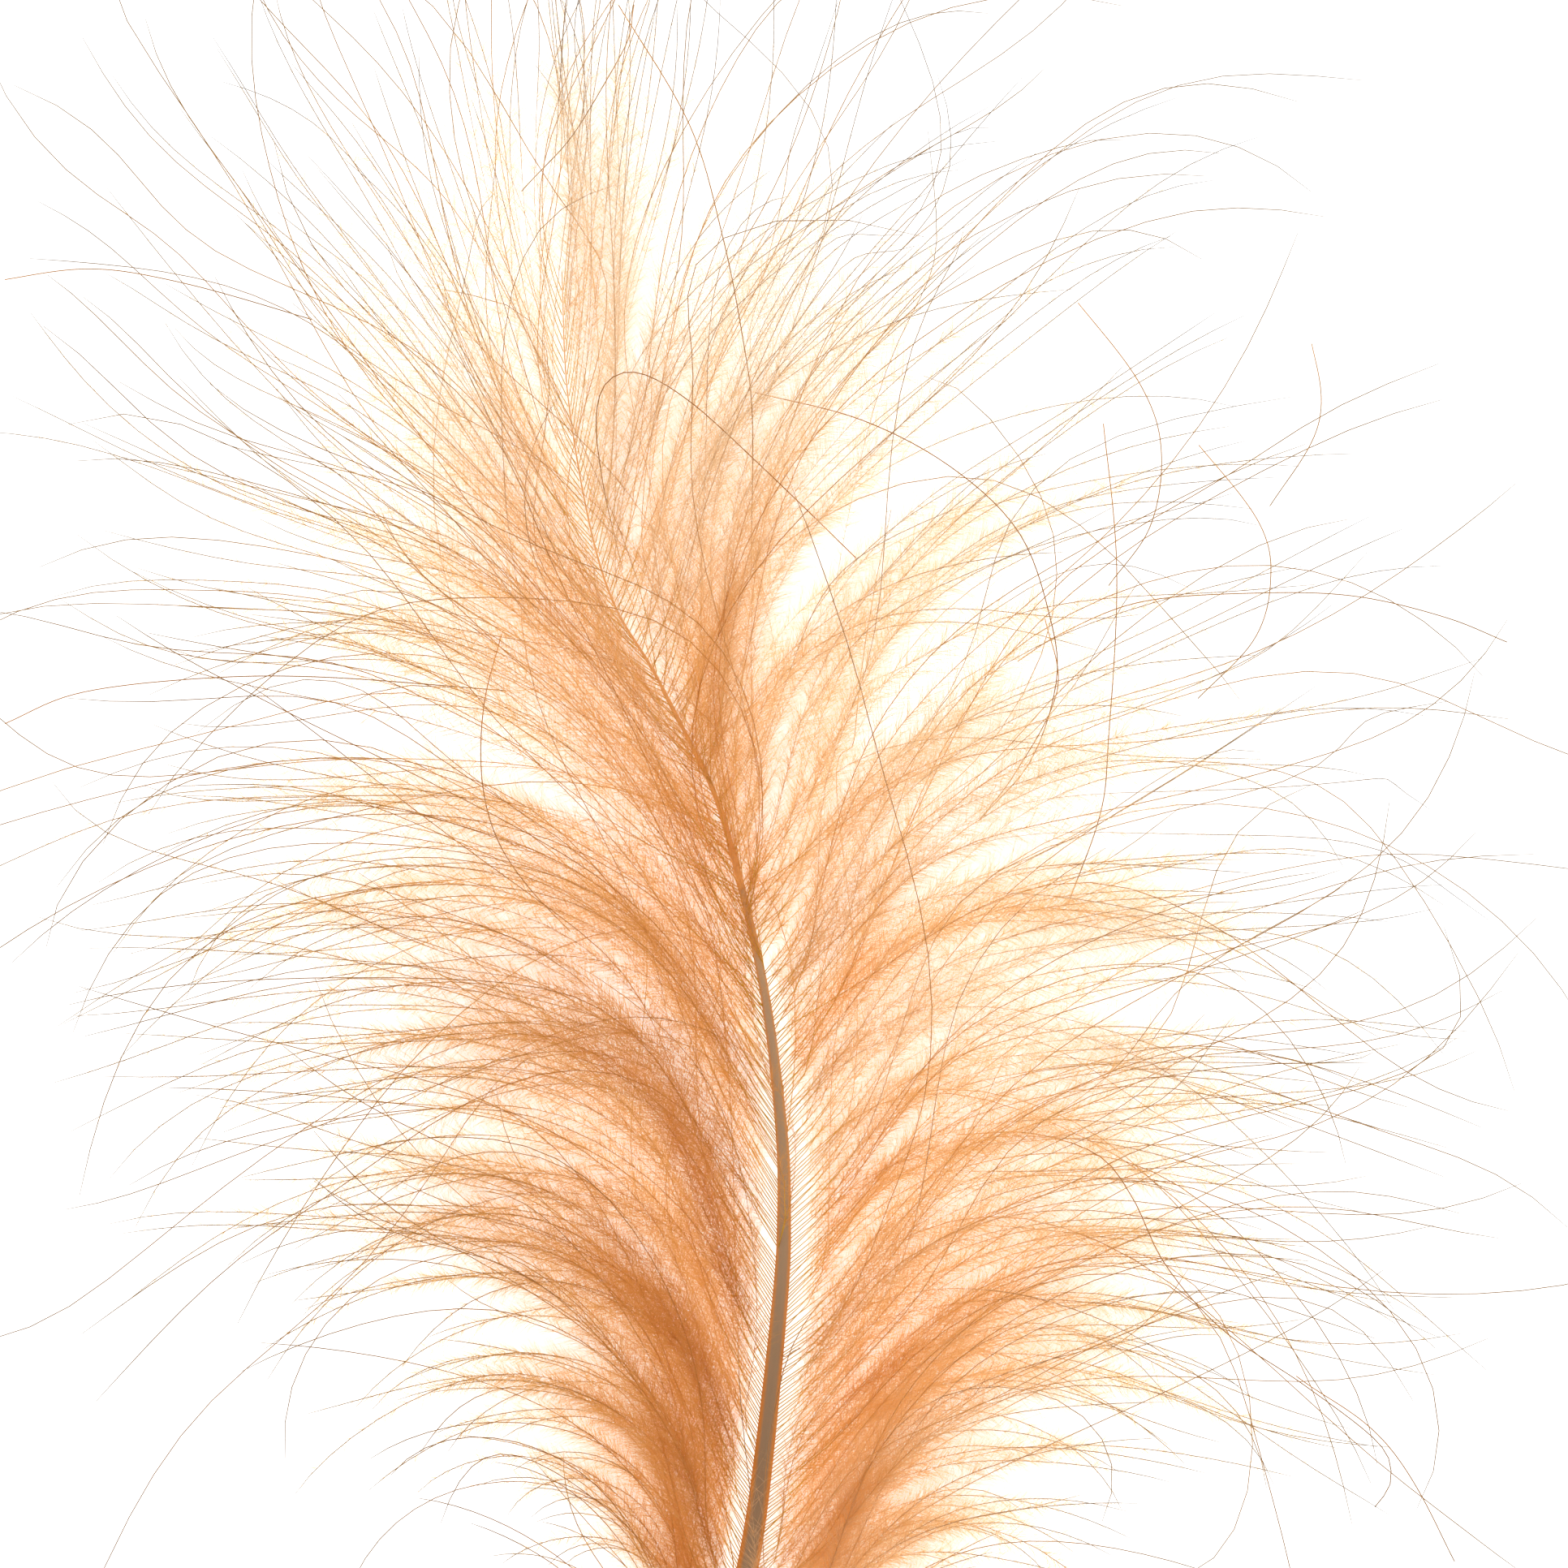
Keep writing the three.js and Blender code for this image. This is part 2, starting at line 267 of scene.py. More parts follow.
# In its upper part the shaft is veiled: barbs there leave it less evenly, and the down on them is
# denser at small walked distances and starts almost at once.
VEILED = [(46, 0), (56, 1), (70, 1), (78, 0)]
VEIL_DOWN = {LEFT: [(0, 1.1), (2, 1.1), (6, 1)], RIGHT: [(0, 1.15), (6, 1.05), (14, 1)]}
VEIL_STARTS_SOONER = 0.8

# Tones run from 0, the darkest brown, to 1, the palest yellow. They are the V of the map, and each
# face of a tube lies in a narrow band of it.
TONE_BAND = 0.006
TONE_LOW = 0.02
TONE_HIGH = 0.96
TONE_BY_PLACE = {
    LEFT: [(8, 0.36), (20, 0.3), (34, 0.28), (50, 0.38), (64, 0.6), (80, 0.84), (91, 0.9)],
    RIGHT: [(8, 0.62), (20, 0.64), (34, 0.66), (50, 0.74), (64, 0.84), (80, 0.92), (91, 0.94)],
}
STRAND_TONE_SCATTER = 0.09
LOCK_TONE_SCATTER = 0.06
BARB_TONE_SCATTER = 0.05
BARBULE_TONE_SCATTER = 0.03
FINE_BARB_TONE = 0.12
COARSE_BARB_TONE = -0.15

# Small widths on the map, for the ends of tubes, for single triangles and for the shaft's ends.
CAP_WIDTH = 0.004
BARBULE_MAP_WIDTH = 0.008
BARBULE_MAP_HEIGHT = 0.01
LAST_BARBULE_SHARE = 0.985
END_MAP_REACH = (0.002, 0.01, 0.01)
END_MAP_LEVELS = (0.5, 0.45, 0.55)

# Colours of the fibres: by tone, and what they are multiplied by at each share of their length.
TONES = [
    (0, (0.79, 0.46, 0.15)), (0.3, (0.87, 0.57, 0.23)), (0.6, (0.965, 0.67, 0.31)), (1, (0.9, 0.765, 0.59)),
]
DOWN_ALONG = [(0, (1, 0.95, 0.85)), (0.3, (1, 1, 1)), (1, (1, 1, 1))]
BARB_ALONG = [
    (0, (1, 1, 1)), (0.25, (0.97, 0.92, 0.86)), (0.5, (0.86, 0.84, 0.84)), (0.75, (0.74, 0.74, 0.8)),
    (1, (0.6, 0.66, 0.8)),
]
ROOT_COLOUR = (0.97, 0.78, 0.14)
ROOT_COLOUR_SHARE = [(0, (0.9, 0.9, 0.9)), (0.06, (0.8, 0.8, 0.8)), (0.13, (0, 0, 0))]

# Colours of the shaft: from one flank over its top to the other, a painted backlight glow in orange on the
# flanks and painted shade in grey-brown over its top and underneath, and that of its upper part.
QUILL_GLOW_AND_SHADE = [
    (0, (0.95, 0.45, 0.12)), (0.12, (0.9, 0.4, 0.1)), (0.26, (0.5, 0.35, 0.21)), (0.5, (0.46, 0.32, 0.19)),
    (0.74, (0.5, 0.35, 0.21)), (0.88, (0.9, 0.4, 0.1)), (1, (0.95, 0.45, 0.12)),
]
QUILL_ALONG = [(0, (1, 1, 1)), (1, (1, 1, 1))]
UPPER_SHAFT = (0.93, 0.69, 0.42)
UPPER_SHARE = [(0.3, (0, 0, 0)), (0.55, (0.5, 0.5, 0.5)), (0.68, (1, 1, 1))]

# How much of the light passes through: the rest is thrown back.
THIN_DOWN = 0.9
THIN_BARB = 0.6
THIN_QUILL = 0.25
THIN_SHAFT_TIP = 0.8

# Single hairs that leave the flow of the rest, as X and Y, and last the curled stub at the shaft.
STRAYS = [
    [(3.7, 11.6), (-1.5, 16.4), (-4.8, 19.3), (-7.3, 20.7), (-8.9, 20.3), (-9.5, 18.5), (-9.2, 15.2),
     (-8.3, 11.0)],
    [(-1.5, 20.1), (3.9, 18.5), (8.4, 16.0), (11.8, 12.7), (13.4, 8.5), (13.8, 5.2), (12.6, 1.2),
     (10.2, -1.7)],
    [(-40, 3.1), (-35.9, 4.6), (-29.6, 5.3), (-23.4, 5.4), (-14.3, 4.8)],
    [(-14.5, 7.7), (-15.2, 4.0), (-15.2, 0.2), (-14.5, -2.7), (-13.1, -5.1), (-11.0, -7.6)],
    [(8.9, -18.0), (12.6, -17.8), (15.9, -18.8), (17.6, -20.9), (19.2, -24.2), (22.1, -27.5), (26.3, -30.4),
     (30.4, -33.7), (31.1, -35.8), (30.4, -37.2)],
    [(26.3, -30.4), (30.4, -33.3), (34.5, -40)],
    [(-40, 25.9), (-35, 26.0), (-30.5, 25.3), (-24.3, 23.9)],
    [(12.0, 6.3), (14.2, 7.7), (18.0, 9.2), (23.4, 9.6), (28.7, 9.5), (33.7, 8.5), (37.2, 7.3)],
    [(16.4, 18.5), (16.8, 11.0), (16.4, 2.7), (16.1, -1.4), (14.6, -6.2)],
    [(-8.5, 40), (-4.8, 33.4), (-3.1, 27.6), (-2.1, 22.6), (-1.6, 18.5), (-1.7, 11.0)],
    [(13.4, 8.5), (13.8, 4.8), (11.8, 0.7), (10.1, -1.8)],
    [(15.1, 24.7), (18.0, 20.1), (19.0, 16.8), (18.6, 13.1), (16.7, 10.2)],
    [(21.3, 17.4), (24.0, 13.1), (24.5, 10.2), (23.8, 7.3), (21.3, 4.4)],
    [(27.1, 22.6), (26.9, 18.1), (25.0, 14.3)],
    [(-7.7, 40), (-8.1, 37.2), (-10.5, 33.0), (-13.5, 30.5)],
    [(-0.2, -29.3), (0.1, -28.9), (0.45, -28.6), (0.8, -28.7), (0.75, -29.0)],
]
STRAY_STEPS = 12
STRAY_RADIUS = 0.03
STRAY_CREST = 5.5
STRAY_ARCH = (0.2, 0.9)
STRAY_LOWEST = 0.3
STRAY_SHARES = (0.35, 0.5)
STRAY_TONES = (0.05, 0.75)

# A piece has fewer triangles than this.
MOST_TRIANGLES = 190000

# The camera looks straight down on a stretch as wide as the picture, at the height of most barbs.
# Its lens and sensor are in millimetres, and its other sizes and those of the floor are in metres.
PICTURE_WIDTH = 80 * METRE
PLUME_LEVEL = 2.5 * METRE
LENS = 100
SENSOR = 36
NEAREST_SEEN = 0.01
FURTHEST_SEEN = 10

# The floor is a pale surface lit from inside, a little below the plume, and the sky is pale.
FLOOR_HALF = 3.0
FLOOR_DROP = 0.0002
FLOOR_COLOUR = (0.92, 0.92, 0.92)
FLOOR_GLOW = 0.9
SKY_COLOUR = (0.98, 0.98, 1, 1)
SKY_STRENGTH = 0.68
SEEN_SKY = (0.96, 0.96, 0.96, 1)

# How often light bounces between the fibres.
MOST_BOUNCES = 8
DIFFUSE_BOUNCES = 5

rng = np.random.default_rng(SEEDS[LEFT])


# Reading off and smooth lines

def read_off(rows, place):
    """A value off (place, value) rows for each place."""
    places, values = zip(*rows)
    return np.interp(place, places, values)


def scatter(lock, thing):
    """A repeatable number between -1 and 1 for each lock and each thing that varies."""
    wave = np.sin(lock * LOCK_STEP + thing * THING_STEP) * WAVE_STRETCH
    return 2 * (wave - np.floor(wave)) - 1


def smooth_line(points, steps):
    """A smooth curve through points, with so many steps between two of them."""
    p = np.asarray(points, float)
    p = np.vstack([2 * p[0] - p[1], p, 2 * p[-1] - p[-2]])
    t = np.linspace(0, 1, steps, endpoint=False)[:, None]
    spans = []
    for a, b, c, d in zip(p, p[1:], p[2:], p[3:]):
        bend = 2 * a - 5 * b + 4 * c - d
        twist = 3 * b - a - 3 * c + d
        spans.append(0.5 * (2 * b + (c - a) * t + bend * t ** 2 + twist * t ** 3))
    return np.vstack(spans + [p[-2][None]])


def reach_along(line):
    """How far each point of a line is from its start, measured along it."""
    return np.r_[0, np.cumsum(np.linalg.norm(np.diff(line, axis=0), axis=1))]


SHAFT_PATH = smooth_line(SHAFT_LINE, SHAFT_STEPS)
SHAFT_REACH = reach_along(SHAFT_PATH)


def shaft_point(at):
    """Points on the middle line of the shaft."""
    x = np.interp(at, SHAFT_REACH, SHAFT_PATH[:, 0])
    y = np.interp(at, SHAFT_REACH, SHAFT_PATH[:, 1])
    return np.stack([x, y, read_off(SHAFT_HEIGHT, at)], -1)


# How barbs run

def heading_weights(shares):
    """How much each of the five headings counts at each share of a barb's length."""
    knots = np.array(HEADING_PLACES, float)
    count = len(knots)
    ends = np.clip([np.arange(count) - 1, np.arange(count) + 1], 0, count - 1)
    slopes = np.zeros((count, count))
    for k in range(count):
        before, after = ends[:, k]
        gap = knots[after] - knots[before]
        slopes[k, after] += 1 / gap
        slopes[k, before] -= 1 / gap
    i = np.clip(np.searchsorted(knots, shares, side="right") - 1, 0, count - 2)
    span = knots[i + 1] - knots[i]
    t = ((shares - knots[i]) / span)[:, None]
    span = span[:, None]
    one = np.eye(count)
    return ((2 * t ** 3 - 3 * t ** 2 + 1) * one[i] + (t ** 3 - 2 * t ** 2 + t) * span * slopes[i]
            + (3 * t ** 2 - 2 * t ** 3) * one[i + 1] + (t ** 3 - t ** 2) * span * slopes[i + 1])


WALK_PLACES = (np.arange(WALK_STEPS) + 0.5) / WALK_STEPS
SHARES = np.linspace(0, 1, WALK_STEPS + 1)
FINE_WEIGHTS = heading_weights(np.linspace(0, 1, HEADING_FINENESS + 1))


def walk(side, roots, lengths, headings, lateness=1.0):
    """The paths of many barbs at once, from their roots along their headings."""
    place = WALK_PLACES ** np.broadcast_to(lateness, len(lengths))[:, None]
    fine = headings @ FINE_WEIGHTS.T
    turn = np.radians(np.take_along_axis(fine, np.rint(place * HEADING_FINENESS).astype(int), 1))
    step = lengths[:, None] / WALK_STEPS
    x = roots[:, :1] + np.cumsum(side * np.sin(turn) * step, 1)
    y = roots[:, 1:2] + np.cumsum(np.cos(turn) * step, 1)
    return np.stack([np.hstack([roots[:, :1], x]), np.hstack([roots[:, 1:2], y])], -1)


def growth(side, at):
    """Length and five headings of the barbs that grow at each place."""
    rows = np.array(ROWS[side], float)
    length, *headings = [np.interp(at, rows[:, 0], rows[:, k]) for k in range(1, rows.shape[1])]
    return length, np.stack(headings, -1)


def even_growth(side, at):
    """The same, evened out over the shaft around each place."""
    reach = read_off(CALM_BLEND, at)
    around = [growth(side, at + part * reach) for part in np.linspace(-1, 1, BLEND_SAMPLES)]
    lengths, headings = zip(*around)
    return np.mean(lengths, 0), np.mean(headings, 0)


def lock_traits(side, index):
    """What a lock adds to all of its barbs: headings, share of length, crest and height of tip."""
    number = index + (0 if side == LEFT else LOCKS_PER_SIDE)
    turns = np.stack([s * scatter(number, k) for k, s in enumerate(HEADING_SCATTER)], -1)
    stretch = 1 + LENGTH_SCATTER * scatter(number, LENGTH_THING)
    layer = np.array(LAYERS)[(index + LAYERS_AHEAD[side]) % len(LAYERS)]
    crest_extra = HEIGHT_SCATTER * scatter(number, CREST_THING)
    tip_extra = HEIGHT_SCATTER * scatter(number, TIP_THING)
    return turns, stretch, layer[:, 0], layer[:, 1], crest_extra, tip_extra


def smooth_traits(side, place):
    """Traits that run on evenly from each lock to the next."""
    below = np.clip(np.floor(place), 0, LOCKS_PER_SIDE - 1).astype(int)
    above = np.minimum(below + 1, LOCKS_PER_SIDE - 1)
    part = np.clip(place - below, 0, 1)
    mixed = []
    for low, high in zip(lock_traits(side, below), lock_traits(side, above)):
        share = part[:, None] if low.ndim == 2 else part
        mixed.append(low * (1 - share) + high * share)
    return mixed


def mix_traits(first, second, chosen):
    """The first of two sets of traits for the chosen barbs, and the second for the others."""
    return [np.where(chosen[:, None] if a.ndim == 2 else chosen, a, b) for a, b in zip(first, second)]


def locks_reach():
    """The lowest and highest X and Y of the lock tips and the cut end of the quill."""
    ends = [shaft_point(np.array([0.0]))[:, :2]]
    index = np.arange(LOCKS_PER_SIDE)
    at = FIRST_LOCK + (LAST_LOCK - FIRST_LOCK) * (index + 0.5) / LOCKS_PER_SIDE
    for side in (LEFT, RIGHT):
        length, headings = growth(side, at)
        turns, stretch = lock_traits(side, index)[:2]
        ends.append(walk(side, shaft_point(at), length * TIP_REACH * stretch, headings + turns)[:, -1])
    ends = np.vstack(ends)
    return ends.min(0), ends.max(0)


# The frame's origin is midway between the outermost lock tips and ends.
REACH_LOW, REACH_HIGH = locks_reach()
TO_FRAME = np.array([*-(REACH_LOW + REACH_HIGH) / 2, 0.0])


# Gathering and swaying

def group_means(values, groups, count):
    """The mean of values over each group."""
    total = np.zeros((count,) + values.shape[1:])
    np.add.at(total, groups, values)
    return total / np.bincount(groups, minlength=count).reshape((-1,) + (1,) * (values.ndim - 1))


def gather(paths, groups, pull):
    """Draws the paths of each group towards their mean path."""
    names, groups = np.unique(groups, return_inverse=True)
    middle = group_means(paths, groups, len(names))[groups]
    return paths + (middle - paths) * pull[..., None]


def carry(paths, layer, walked, sway):
    """Carries paths aside on slow waves, of which each layer has its own."""
    moved = np.zeros(paths.shape[:2] + (2,))
    for number in range(layer.max() + 1):
        mine = layer == number
        for wave in range(WAVES):
            length = rng.uniform(*WAVE_LENGTHS)
            run, push = rng.uniform(0, 2 * np.pi, 2)
            phase = rng.uniform(0, 2 * np.pi)
            far = paths[mine][..., 0] * np.cos(run) + paths[mine][..., 1] * np.sin(run)
            swing = np.sin(2 * np.pi * far / length + phase) / np.sqrt(WAVES)
            moved[mine] += swing[..., None] * [np.cos(push), np.sin(push)]
    paths[..., :2] += moved * (read_off(WAVE_REACH, walked) * sway)[..., None]
    return paths


def soft_limit(values, limit, curl):
    """Values that level off over the last stretch before a limit."""
    over = np.maximum(values - (limit - curl), 0)
    return np.minimum(values, limit - curl) + curl * np.tanh(over / curl)


def keep_in_box(paths):
    """Bends barbs along the sides and the top of the solid's box."""
    low = np.array(loaded_low) / METRE - TO_FRAME
    high = np.array(loaded_high) / METRE - TO_FRAME
    kept = paths.copy()
    for k in (0, 1):
        kept[..., k] = -soft_limit(-soft_limit(paths[..., k], high[k], SIDE_CURL), -low[k], SIDE_CURL)
    kept[..., 2] = np.maximum(soft_limit(paths[..., 2], HIGHEST_FIBRE, TOP_CURL), LOWEST_FIBRE)
    return kept


# Barbs

def space_barbs():
    """The places where the barbs of one side grow."""
    places = np.linspace(FIRST_BARB, LAST_BARB, SPACING_STEPS)
    grown = np.cumsum(np.gradient(places) / read_off(BARB_SPACING, places))
    count = int(grown[-1])
    at = np.interp(np.arange(count) + 0.5, grown, places)
    return at + rng.uniform(-1, 1, count) * (ROOT_JITTER + VEILED_JITTER * read_off(VEILED, at))


def number_strands(loose):
    """The strand of each barb: calm barbs gather with calm ones, loose barbs with loose ones."""
    count = len(loose)
    calm_strand, loose_strand = [
        np.searchsorted(np.cumsum(rng.integers(*span, count)), np.arange(count), side="right")
        for span in (BARBS_IN_STRAND, LOOSE_STRAND_SPAN)]
    return np.where(loose, calm_strand[-1] + 1 + loose_strand, calm_strand)


def sort_barbs(side):
    """Where the barbs of one side grow, and what sort of barb each is."""
    at = space_barbs()
    lock_place = (at - FIRST_LOCK) / ((LAST_LOCK - FIRST_LOCK) / LOCKS_PER_SIDE)
    lock = np.clip(np.floor(lock_place), 0, LOCKS_PER_SIDE - 1).astype(int)
    loose = rng.random(len(at)) < read_off(LOOSE_SHARE[side], at)
    strand = number_strands(loose)
    fine = rng.random(len(at)) < FINE_BARBS
    traits = mix_traits(lock_traits(side, lock), smooth_traits(side, lock_place - 0.5), loose)
    return {"side": side, "at": at, "lock": lock, "loose": loose, "strand": strand, "fine": fine,
            "traits": traits}


def at_five_places(turn):
    """An early and a late turn of each barb, spread over the five places along it."""
    return np.stack([turn[:, 0]] * 3 + [turn.mean(1), turn[:, 1]], -1)


def head_barbs(barbs):
    """Settles how long each barb is and which way it heads at the five places along it."""
    side, at, strand, loose, fine = [barbs[key] for key in ("side", "at", "strand", "loose", "fine")]
    turns, stretch = barbs["traits"][:2]
    count, strands = len(at), strand.max() + 1
    length, headings = mix_traits(growth(side, at), even_growth(side, at), loose)
    ease = np.where(loose, 1, CALM)[:, None]
    strand_turn = rng.normal(0, 1, (strands, 2))[strand] * ease
    barb_turn = rng.normal(0, 1, (count, 2)) * np.where(fine, 1, COARSE_SCATTER)[:, None]
    stray = rng.random(count) < STRAY_SHARE
    headings[:, 1:] *= np.where(loose, rng.uniform(*LOOSE_LEAN[side], strands)[strand], 1)[:, None]
    headings = headings + turns * ease
    headings += np.array(STRAND_HEADING_SCATTER) * at_five_places(strand_turn)
    headings += np.array(BARB_HEADING_SCATTER) * at_five_places(barb_turn)
    headings += read_off(VEILED, at)[:, None] * np.array(VEILED_HEADING_SCATTER) * at_five_places(barb_turn)
    headings[stray] += np.array(STRAY_HEADING_SCATTER) * rng.normal(0, 1, (stray.sum(), 1))
    crossing = rng.random(strands)[strand] < read_off(CROSSING_SHARE[side], at)
    strength = rng.uniform(*CROSSING_STRENGTH, strands)[strand]
    headings[crossing] += np.array(CROSSING_HEADING) * strength[crossing, None]
    shortest, longest = np.where(fine[:, None], FINE_LENGTHS, COARSE_LENGTHS).T
    shorter = (longest - shortest) * rng.random(count) ** SHORTER_BIAS
    barbs.update(stray=stray, headings=headings, length=length * stretch * (longest - shorter))


def lay_barbs(barbs):
    """The path of each barb in its layer, before strands gather and sway."""
    side, at, strand, length = [barbs[key] for key in ("side", "at", "strand", "length")]
    crest, tip, crest_extra, tip_extra = barbs["traits"][2:]
    count, strands = len(at), strand.max() + 1
    root = shaft_point(at)
    root[:, 0] += side * ROOT_IN_SHAFT * read_off(SHAFT_RADIUS, at)
    bend = rng.uniform(*np.log(STRAND_BEND), strands)[strand] + rng.normal(0, BARB_BEND_SCATTER, count)
    flat = walk(side, root, length, barbs["headings"], np.exp(bend))

    depth = np.minimum(length / FULL_DEPTH_LENGTH, 1)
    crest = (crest * depth + crest_extra)[:, None]
    tip = np.maximum(tip * depth + tip_extra, 0)[:, None]
    inside = (LEAST_THICKNESS + THICKNESS_BY_LENGTH * length)[:, None] * read_off(LOCK_SWELL, SHARES)
    level = (rng.uniform(-STRAND_LEVEL, STRAND_LEVEL, strands)[strand]
             + rng.uniform(-BARB_LEVEL, BARB_LEVEL, count))
    z = (root[:, 2:] * (1 - SHARES) + crest * np.sin(np.pi * SHARES ** CREST_PLACE) + tip * SHARES ** 2
         + level[:, None] * inside)
    return np.concatenate([flat, z[..., None]], -1)


def settle_barbs(barbs, paths):
    """Lets the barbs sway in their layers and gather in strands and locks."""
    at, lock, strand, loose = [barbs[key] for key in ("at", "lock", "strand", "loose")]
    strands = strand.max() + 1
    walked = barbs["length"][:, None] * SHARES
    calm_layer = rng.integers(0, CALM_LAYERS, strands)[strand]
    layer = np.where(loose, CALM_LAYERS + lock % len(LAYERS), calm_layer)
    paths = carry(paths, layer, walked, np.where(loose, 1, CALM_SWAY)[:, None])
    held = np.where(barbs["stray"], STRAY_HELD, np.where(loose, LOOSE_HELD, CALM_HELD))
    held = (held * read_off(PULL_BY_PLACE, at))[:, None]
    strand_share = rng.uniform(*STRAND_PULL_SPREAD, strands)[strand, None]
    strand_hold = held * read_off(STRAND_PULL, walked) * strand_share
    paths = gather(paths, strand, strand_hold)
    lock_share = rng.uniform(*LOCK_PULL_SPREAD, LOCKS_PER_SIDE)[lock, None]
    lock_hold = held * read_off(LOCK_PULL, walked) * lock_share
    return keep_in_box(gather(paths, lock, lock_hold))


def barb_tones(barbs):
    """The tone of each barb: by place, strand and lock, and its own."""
    strand = barbs["strand"]
    by_strand = rng.normal(0, STRAND_TONE_SCATTER, strand.max() + 1)[strand]
    by_lock = rng.normal(0, LOCK_TONE_SCATTER, LOCKS_PER_SIDE)[barbs["lock"]]
    own = rng.normal(0, BARB_TONE_SCATTER, len(strand))
    by_place = read_off(TONE_BY_PLACE[barbs["side"]], barbs["at"])
    return np.clip(by_place + by_strand + by_lock + own, TONE_LOW, TONE_HIGH)


def grow_barbs(side):
    """All barbs of one side, with their paths, directions and tones."""
    barbs = sort_barbs(side)
    head_barbs(barbs)
    barbs["paths"] = settle_barbs(barbs, lay_barbs(barbs))
    barbs["directions"] = directions(barbs["paths"])
    barbs["tones"] = barb_tones(barbs)
    return barbs


# Tubes

def directions(paths):
    """Unit directions along paths."""
    way = np.gradient(paths, axis=1)
    return way / np.linalg.norm(way, axis=-1, keepdims=True)


def across_and_over(way):
    """The level direction across a way, and the one that is square to both."""
    across = np.cross(way, [0.0, 0.0, 1.0])
    across /= np.linalg.norm(across, axis=-1, keepdims=True) + ALMOST_NOTHING
    return across, np.cross(across, way)


def wall_uv(start, end, near, far):
    """The map of the two triangles of each wall between two rings."""
    u = np.stack([start, start, end, start, end, end], -1).reshape(-1)
    v = np.stack([near, far, far, near, far, near], -1).reshape(-1)
    return u, v


def tubes(paths, radii, tones, along):
    """Closed tapering tubes along paths: points, triangles and the map of each corner."""
    count, rings = paths.shape[:2]
    across, over = across_and_over(directions(paths))
    turn = np.pi / 2 + 2 * np.pi * np.arange(TUBE_SIDES) / TUBE_SIDES
    rim = across[:, :, None] * np.cos(turn)[:, None] + over[:, :, None] * np.sin(turn)[:, None]
    points = (paths[:, :, None] + rim * radii[..., None, None]).reshape(-1, 3)

    ring = np.arange(count * rings).reshape(count, rings)[:, :-1, None] * TUBE_SIDES
    here = np.arange(TUBE_SIDES)
    a, b = ring + here, ring + (here + 1) % TUBE_SIDES
    c, d = b + TUBE_SIDES, a + TUBE_SIDES
    walls = np.stack([a, b, c, a, c, d], -1).reshape(-1, 3)
    band = np.broadcast_to(tones[:, None, None] + TONE_BAND * here, a.shape)
    start = np.broadcast_to(along[:, :-1, None], a.shape)
    end = np.broadcast_to(along[:, 1:, None], a.shape)
    u, v = wall_uv(start, end, band, band + TONE_BAND)

    first = np.arange(count) * rings * TUBE_SIDES
    last = first + (rings - 1) * TUBE_SIDES
    caps = np.concatenate([first[:, None] + [2, 1, 0], last[:, None] + [0, 1, 2]])
    cap_u = np.concatenate([along[:, :1] + [0, CAP_WIDTH, 0], along[:, -1:] - [0, CAP_WIDTH, 0]])
    cap_v = np.concatenate([tones[:, None] + [0, 0, TONE_BAND]] * 2)
    uv = np.stack([np.r_[u, cap_u.ravel()], np.r_[v, cap_v.ravel()]], -1)
    return points, np.vstack([walls, caps]), uv


# Barbules

def on_path(paths, which, share):
    """Points on the paths of some barbs, at a share of their length."""
    place = np.clip(share * WALK_STEPS, 0, WALK_STEPS - ALMOST_NOTHING)
    i = place.astype(int)
    part = (place - i)[:, None]
    return paths[which, i] * (1 - part) + paths[which, i + 1] * part


def down_chance(barbs, which, share, walked, bare):
    """How likely a barbule is to grow at each of these points."""
    side, at = barbs["side"], barbs["at"][which]
    fine_fade, coarse_fade = read_off(FINE_FADE[side], share), read_off(COARSE_FADE[side], share)
    fade = np.where(barbs["fine"][which], fine_fade, coarse_fade)
    fade = fade * np.where(barbs["loose"][which], read_off(LOOSE_DOWN, share), 1)
    fade = fade * np.where(at < TUFTS_BELOW[side], read_off(TUFT_DOWN, walked), 1)
    chance = fade * read_off(DOWN_BY_PLACE[side], at) / MOST_DOWN
    veiled = read_off(VEILED, at)
    chance *= 1 + veiled * (read_off(VEIL_DOWN[side], walked) - 1)
    starts_over = DOWN_STARTS_OVER * (1 - VEIL_STARTS_SOONER * veiled)
    return chance * np.clip((walked - bare) / starts_over, 0, 1)


def place_barbules(barbs):
    """Which barb each barbule grows from, at what share, and how far down has started there."""
    length = barbs["length"]
    wanted = rng.poisson(length * BARBULES_PER_MM)
    which = np.repeat(np.arange(len(length)), wanted)
    share = rng.random(len(which))
    walked = share * length[which]
    bare_spread = rng.uniform(*BARE_SPREAD, len(length))[which]
    bare = read_off(BARE_ROOT[barbs["side"]], barbs["at"][which]) * bare_spread
    kept = rng.random(len(which)) < down_chance(barbs, which, share, walked, bare)
    return which[kept], share[kept], (walked - bare)[kept]


